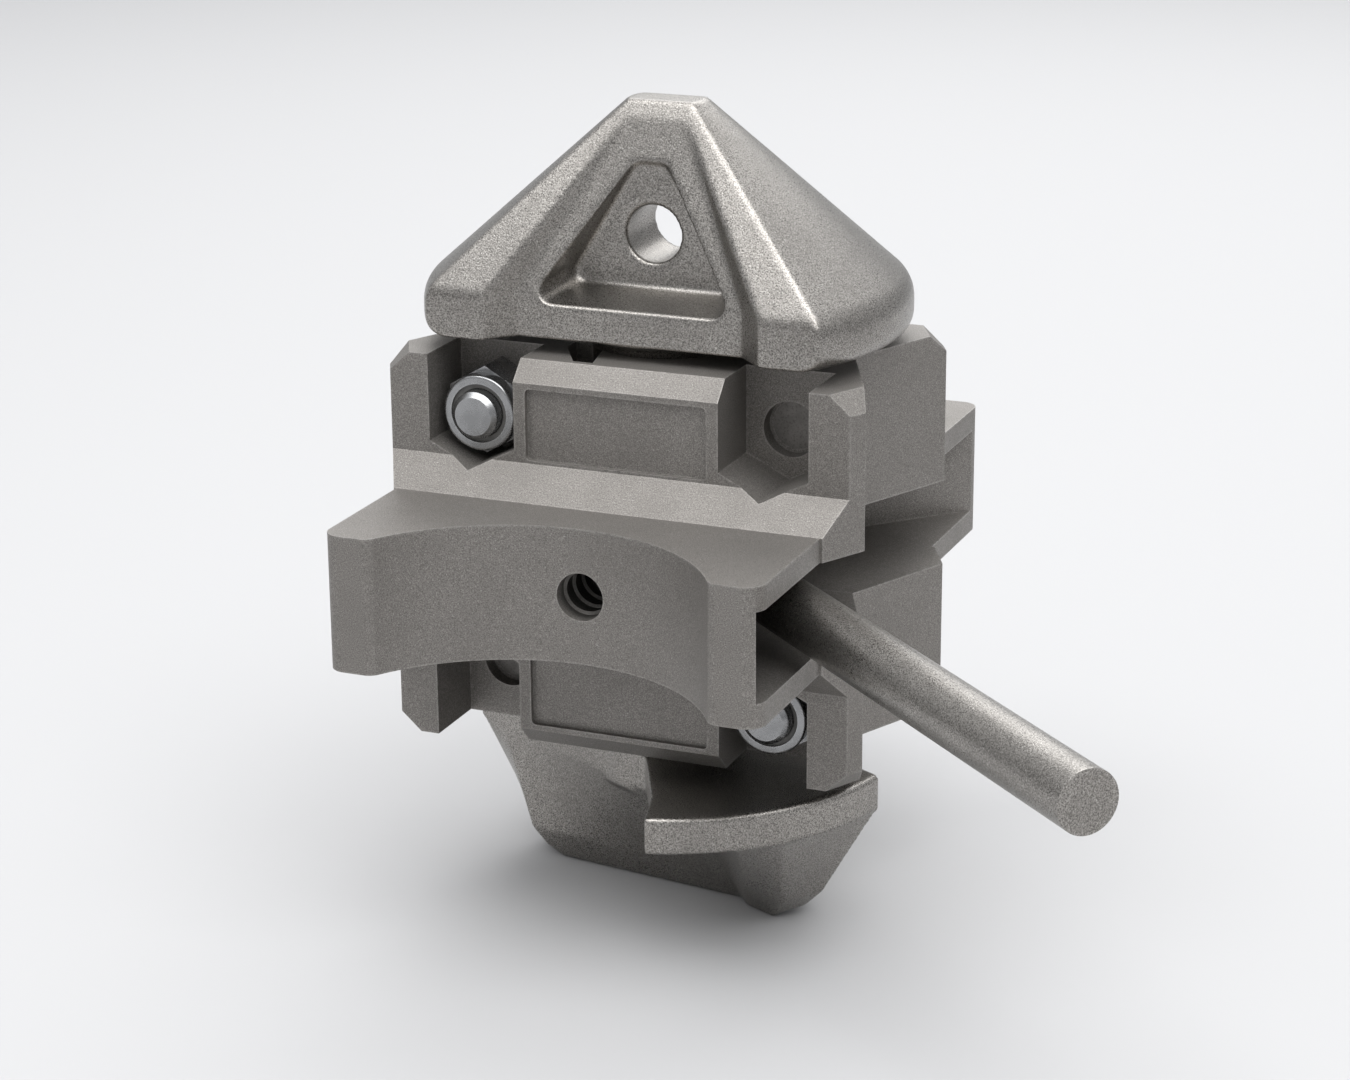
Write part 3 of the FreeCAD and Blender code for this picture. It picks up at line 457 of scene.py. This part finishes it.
@dataclass(frozen=True)
class SteelFinish:
    """Oiled steel on the spring and the pins."""

    name: str = "oiled_steel"
    colour: Colour = (0.235, 0.225, 0.213)
    dark: Colour = (0.120, 0.114, 0.107)
    metallic: float = 0.95
    roughness: float = 0.48
    clouds: Grain = Grain(3.0, 4.0, 0.6)
    cloud_band: Band = (0.4, 0.7)
    cloud_share: float = 0.3
    cloud_roughness: float = 0.2
    speckle: Grain = Grain(0.35, 2.0, 0.6)
    speckle_depth: float = 0.030
    speckle_band: Band = (0.5, 0.7)
    speckle_share: float = 0.6

    def make(self) -> bpy.types.Material:
        """Builds the material.

        Returns:
            The material.
        """
        graph = Graph(self.name)
        clouds = graph.noise(self.clouds)
        speckle = graph.noise(self.speckle)
        tone = graph.mix(
            clouds.between(*self.cloud_band) * self.cloud_share, self.colour, self.dark
        )
        dust = speckle.between(*self.speckle_band) * self.speckle_share
        tone = graph.mix(dust, tone, self.dark)
        rough = (clouds - MIDDLE) * self.cloud_roughness + self.roughness
        normal = graph.bump(speckle, self.speckle_depth)
        return graph.surface(
            Base_Color=tone, Metallic=self.metallic, Roughness=rough, Normal=normal
        )


@dataclass(frozen=True)
class NylonFinish:
    """Dusty nylon in the lock nuts."""

    name: str = "dusty_nylon"
    colour: Colour = (0.150, 0.146, 0.138)
    dirt: Colour = (0.080, 0.076, 0.070)
    metallic: float = 0.0
    roughness: float = 0.45
    clouds: Grain = Grain(2.0, 4.0, 0.6)
    cloud_band: Band = (0.45, 0.75)
    cloud_share: float = 0.7
    cloud_roughness: float = 0.3
    speckle: Grain = Grain(0.4, 2.0, 0.6)
    speckle_depth: float = 0.010

    def make(self) -> bpy.types.Material:
        """Builds the material.

        Returns:
            The material.
        """
        graph = Graph(self.name)
        clouds = graph.noise(self.clouds)
        tone = graph.mix(
            clouds.between(*self.cloud_band) * self.cloud_share, self.colour, self.dirt
        )
        rough = (clouds - MIDDLE) * self.cloud_roughness + self.roughness
        normal = graph.bump(graph.noise(self.speckle), self.speckle_depth)
        return graph.surface(
            Base_Color=tone, Metallic=self.metallic, Roughness=rough, Normal=normal
        )


class Finishes:
    """All materials of the part."""

    def __init__(self) -> None:
        """Builds each finish once."""
        self.by_slot: Dict[Slot, bpy.types.Material] = {
            Slot.CASTING: CastFinish().make(),
            Slot.FORGING: ForgedFinish().make(),
            Slot.ZINC: ZincFinish().make(),
            Slot.STEEL: SteelFinish().make(),
            Slot.NYLON: NylonFinish().make(),
        }

    def dress(self, piece: bpy.types.Object, slot: Slot) -> None:
        """Gives a piece its material.

        Args:
            piece: The piece or CAD node.
            slot: Which finish it has.
        """
        piece.data.materials.clear()
        piece.data.materials.append(self.by_slot[slot])


def add_modifier(piece: bpy.types.Object, kind: str, **settings: Any) -> None:
    """Adds a modifier with its settings.

    Args:
        piece: The piece.
        kind: The modifier's type.
        settings: Its properties.
    """
    modifier = piece.modifiers.new(kind.lower(), kind)
    for name, value in settings.items():
        setattr(modifier, name, value)


def weld(piece: bpy.types.Object, reach: float = 0.01) -> None:
    """Joins the points of a piece that lie within a reach in millimetres of each other."""
    add_modifier(piece, "WELD", merge_threshold=reach * MM)


def soften(piece: bpy.types.Object, width: float, corner: float, rows: int = 3) -> None:
    """Rounds the edges of a piece.

    Args:
        piece: The piece.
        width: Width of the rounding in millimetres.
        corner: The least angle of an edge that is rounded, in degrees.
        rows: Rows of faces along a rounded edge.
    """
    add_modifier(piece, "BEVEL", width=width * MM, segments=rows, limit_method="ANGLE",
                 angle_limit=math.radians(corner), harden_normals=False)
    add_modifier(piece, "WEIGHTED_NORMAL", keep_sharp=True)


@dataclass
class Castings:
    """The two housing halves with the softened edges of a casting.

    The edge is in millimetres. In degrees, corner is the least angle of an edge that is
    rounded, and flat the most that two faces may lean and still become one.
    """

    nodes: Dict[str, bpy.types.Object]
    finishes: Finishes
    halves: Tuple[str, ...] = ("front_housing", "rear_housing")
    edge: float = 0.55
    corner: float = 28.0
    flat: float = 1.0

    def build(self) -> None:
        """Softens and dresses both halves."""
        for name in self.halves:
            node = self.nodes[name]
            self.finishes.dress(node, Slot.CASTING)
            weld(node)
            add_modifier(node, "DECIMATE", decimate_type="DISSOLVE",
                         angle_limit=math.radians(self.flat))
            soften(node, self.edge, self.corner)


@dataclass
class Forgings:
    """The cone and the nose, whose edges are as round as a forging die leaves them.

    The voxel is in millimetres, the pull is the strength of one turn of smoothing, and turns
    says how many times each one is smoothed.
    """

    nodes: Dict[str, bpy.types.Object]
    finishes: Finishes
    voxel: float = 0.65
    pull: float = 0.5
    turns: Dict[str, int] = field(default_factory=lambda: {"upper_spindle": 4, "lower_nose": 2})

    def build(self) -> None:
        """Rounds and dresses both forgings."""
        for name, turns in self.turns.items():
            node = self.nodes[name]
            self.finishes.dress(node, Slot.FORGING)
            add_modifier(node, "REMESH", mode="VOXEL", voxel_size=self.voxel * MM,
                         use_smooth_shade=True)
            add_modifier(node, "SMOOTH", factor=self.pull, iterations=turns)


@dataclass
class HoleThread:
    """The helical ridge in the front hole, with sizes in millimetres."""

    finishes: Finishes
    wall: float = 5.05
    crest: float = 4.40
    pitch: float = 4.4
    mouth: float = -45.8
    root: float = 0.42
    tip: float = 0.05
    turns: float = 4.0
    steps: int = 60
    fade_steps: float = 14.0

    def build(self) -> bpy.types.Object:
        """Winds the ridge.

        Returns:
            The ridge.
        """
        mesh = bmesh.new()
        rows = []
        count = int(self.turns * self.steps)
        for step in range(count + 1):
            angle = 2.0 * math.pi * step / self.steps
            fade = min(1.0, step / self.fade_steps, (count - step) / self.fade_steps)
            crest = self.wall - (self.wall - self.crest) * fade
            depth = self.mouth + self.pitch * step / self.steps
            profile = (
                (self.wall, -self.root), (crest, -self.tip), (crest, self.tip),
                (self.wall, self.root),
            )
            row = []
            for radius, shift in profile:
                place = (radius * math.cos(angle), depth + shift, radius * math.sin(angle))
                row.append(mesh.verts.new(Vector(place) * MM))
            rows.append(row)
        for before, after in zip(rows, rows[1:]):
            for index in range(len(before)):
                other = (index + 1) % len(before)
                mesh.faces.new((before[index], before[other], after[other], after[index]))
        mesh.faces.new(rows[0][::-1])
        mesh.faces.new(rows[-1])
        bmesh.ops.recalc_face_normals(mesh, faces=mesh.faces)
        data = bpy.data.meshes.new("front_hole_thread")
        mesh.to_mesh(data)
        mesh.free()
        ridge = bpy.data.objects.new("front_hole_thread", data)
        bpy.context.scene.collection.objects.link(ridge)
        self.finishes.dress(ridge, Slot.CASTING)
        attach(ridge, Body.HOUSING.value)
        return ridge


@dataclass
class SmallParts:
    """Fasteners, spring, pins, hub and rod that keep their CAD shape with softer edges.

    The edges are in millimetres; a piece without one keeps its edges as they are.
    """

    nodes: Dict[str, bpy.types.Object]
    finishes: Finishes
    slots: Dict[str, Slot]
    corner: float = 40.0
    edges: Dict[str, float] = field(default_factory=lambda: {
        "upper_bolt": 0.35, "lower_bolt": 0.35, "upper_lock_nut": 0.45, "lower_lock_nut": 0.45,
        "upper_locating_pin": 0.5, "lower_locating_pin": 0.5, "handle_rod": 0.9,
        "handle_hub": 0.6, "thrust_ring": 0.2, "upper_hub_pin": 0.4, "lower_hub_pin": 0.4,
        "rod_lock_pin": 0.3, "drive_pin": 0.3, "upper_nut_insert": 0.3, "lower_nut_insert": 0.3,
    })

    def build(self) -> None:
        """Dresses each node and softens its edges."""
        for name, slot in self.slots.items():
            node = self.nodes[name]
            self.finishes.dress(node, slot)
            if name in self.edges:
                weld(node)
                soften(node, self.edges[name], self.corner)


@dataclass(frozen=True)
class Lamp:
    """A soft round lamp that faces the middle of the part, in metres and watts."""

    name: str
    place: Tuple[float, float, float]
    size: float
    power: float

    def hang(self) -> None:
        """Hangs the lamp."""
        data = bpy.data.lights.new(self.name, "AREA")
        data.shape = "DISK"
        data.size = self.size
        data.energy = self.power
        lamp = bpy.data.objects.new(self.name, data)
        lamp.location = self.place
        lamp.rotation_euler = (-Vector(self.place)).to_track_quat("-Z", "Y").to_euler()
        bpy.context.scene.collection.objects.link(lamp)


@dataclass(frozen=True)
class Viewpoint:
    """Where the photograph was taken from, in degrees and millimetres from the part's middle."""

    azimuth: float = 22.58
    elevation: float = 18.15
    roll: float = -0.43
    distance: float = 695.03
    shift_right: float = 0.82
    shift_up: float = -2.27
    focal_pixels: float = 3297.5
    image_width: float = 1350.0
    sensor: float = 36.0
    nearest: float = 10.0

    def build(self) -> None:
        """Puts the camera there."""
        turn = math.radians(self.azimuth)
        tilt = math.radians(self.elevation)
        level = math.cos(tilt)
        forward = Vector((-math.sin(turn) * level, math.cos(turn) * level, -math.sin(tilt)))
        right = Vector((math.cos(turn), math.sin(turn), 0.0))
        up = right.cross(forward)
        place = (forward * -self.distance + right * self.shift_right + up * self.shift_up) * MM
        roll = math.radians(self.roll)
        across = right * math.cos(roll) + up * math.sin(roll)
        above = up * math.cos(roll) - right * math.sin(roll)
        turned = Matrix((across, above, -forward)).transposed()
        data = bpy.data.cameras.new("camera")
        data.sensor_width = self.sensor
        data.sensor_fit = "HORIZONTAL"
        data.lens = self.focal_pixels / self.image_width * self.sensor
        data.clip_start = self.nearest * MM
        camera = bpy.data.objects.new("camera", data)
        camera.matrix_world = Matrix.Translation(place) @ turned.to_4x4()
        bpy.context.scene.collection.objects.link(camera)
        bpy.context.scene.camera = camera


@dataclass(frozen=True)
class Studio:
    """Plain pale floor, pale room and soft lamps.

    The floor's height is in millimetres and its reach in metres. The room's light has the
    horizon's strength for directions that rise less than low, and the zenith's above high.
    """

    floor_height: float = -79.2
    floor_reach: float = 20.0
    floor_colour: Colour = (0.480, 0.480, 0.484)
    floor_roughness: float = 0.9
    air: Colour = (0.97, 0.98, 1.0)
    horizon: float = 0.48
    zenith: float = 1.15
    low: float = 0.10
    high: float = 0.95
    lamps: Tuple[Lamp, ...] = (
        Lamp("key", (0.60, -0.50, 1.15), 1.0, 9.0),
        Lamp("front", (-0.25, -0.42, 1.40), 1.2, 11.0),
        Lamp("back", (-0.15, 0.95, 0.90), 1.2, 8.0),
    )

    def build(self) -> None:
        """Sets floor, room and lamps."""
        self.floor()
        self.room()
        for lamp in self.lamps:
            lamp.hang()

    def floor(self) -> None:
        """Lays a large pale floor."""
        mesh = bpy.data.meshes.new("floor")
        reach = self.floor_reach
        ends = ((-reach, -reach), (reach, -reach), (reach, reach), (-reach, reach))
        corners = [(*end, self.floor_height * MM) for end in ends]
        mesh.from_pydata(corners, [], [(0, 1, 2, 3)])
        floor = bpy.data.objects.new("floor", mesh)
        bpy.context.scene.collection.objects.link(floor)
        graph = Graph("pale_floor")
        paint = graph.surface(Base_Color=self.floor_colour, Roughness=self.floor_roughness)
        mesh.materials.append(paint)

    def room(self) -> None:
        """Lights the scene from a pale room that is brighter overhead."""
        graph = Graph("room", world=True)
        direction = graph.node("ShaderNodeTexCoord", {}, {}, "Generated")
        height = graph.split(direction)[2]
        strength = height.between(self.low, self.high, self.horizon, self.zenith)
        light = {"Color": self.air, "Strength": strength}
        bpy.context.scene.world = graph.finish(graph.node("ShaderNodeBackground", {}, light))


def main() -> None:
    """Builds the whole scene."""
    logging.basicConfig(level=logging.INFO, format="%(message)s")
    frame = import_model()
    scene = bpy.context.scene
    scene.view_settings.view_transform = "Standard"
    finishes = Finishes()
    nodes = frame["nodes"]
    castings = Castings(nodes, finishes)
    forgings = Forgings(nodes, finishes)
    large = (*castings.halves, *forgings.turns)
    slots = {
        part["node"]: Slot(part["material_slot"])
        for part in frame["record"]["subparts"] if part["node"] not in large
    }
    Studio().build()
    Viewpoint().build()
    SmallParts(nodes, finishes, slots).build()
    castings.build()
    forgings.build()
    ridge = HoleThread(finishes).build()
    for name in sorted((*nodes, ridge.name)):
        LOG.info("dressed %s", name)


if __name__ == "__main__":
    main()
